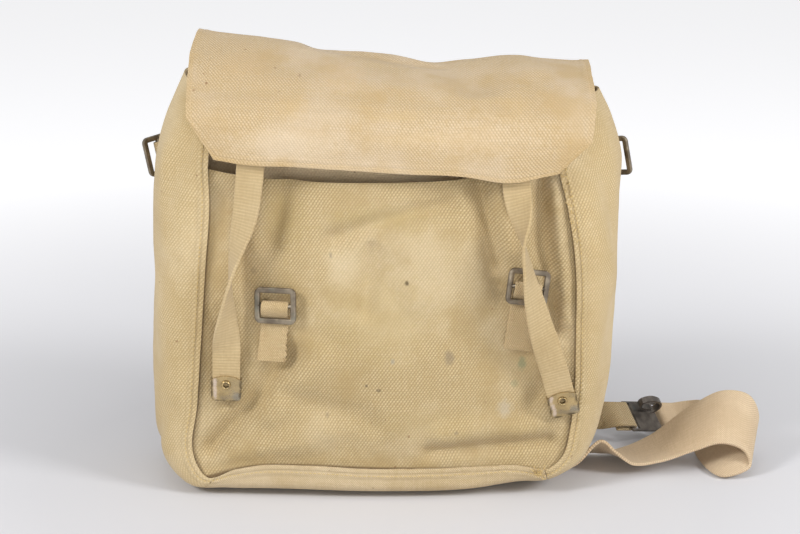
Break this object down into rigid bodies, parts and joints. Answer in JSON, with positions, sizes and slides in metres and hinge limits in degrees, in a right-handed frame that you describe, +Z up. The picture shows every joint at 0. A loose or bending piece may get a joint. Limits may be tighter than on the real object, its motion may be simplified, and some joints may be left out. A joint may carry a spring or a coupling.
{
  "type": "military rucksack",
  "caption": "Small canvas military rucksack standing upright, with a lid flap, webbing closing straps, brass buckles and a wide carrying strap lying beside it.",
  "frame": {"origin": "on the ground under the middle of the base", "axes": "+X to the right as seen from the front, +Y from the front panel to the back panel, +Z up"},
  "size_m": [0.4641, 0.1808, 0.3251],
  "materials": {
    "canvas": "matt faded cotton canvas",
    "ribbed_canvas": "matt ribbed cotton",
    "webbing": "matt woven cotton web",
    "aged_brass": "dull tarnished",
    "dark_brass": "dark tarnished"
  },
  "bodies": {
    "bag": {"front_panel": "canvas", "back_panel": "canvas", "side_gusset_left": "canvas", "side_gusset_right": "canvas", "inner_divider": "canvas", "lid_flap": "canvas", "base_strip": "ribbed_canvas", "closing_strap_left": "webbing", "closing_strap_right": "webbing", "buckle_tab_left": "webbing", "buckle_tab_right": "webbing", "side_tab_left": "webbing", "side_tab_right": "webbing", "lower_tab": "webbing", "carrying_strap": "webbing", "strap_tip_left": "aged_brass", "strap_tip_right": "aged_brass", "tip_rivet_left": "aged_brass", "tip_rivet_right": "aged_brass", "front_buckle_left": "aged_brass", "front_buckle_right": "aged_brass", "hook_plate": "dark_brass"},
    "left_side_buckle": {"side_buckle_left": "aged_brass"},
    "right_side_buckle": {"side_buckle_right": "aged_brass"}
  },
  "joints": [
    {"name": "left_buckle_swing", "type": "hinge", "parent": "bag", "child": "left_side_buckle", "pos_m": [-0.168, 0.0585, 0.229], "axis": [0.1908, 0, -0.9816], "range_deg": [-70, 38]},
    {"name": "right_buckle_swing", "type": "hinge", "parent": "bag", "child": "right_side_buckle", "pos_m": [0.173, 0.0585, 0.228], "axis": [-0.1908, 0, 0.9816], "range_deg": [-70, 38]}
  ]
}
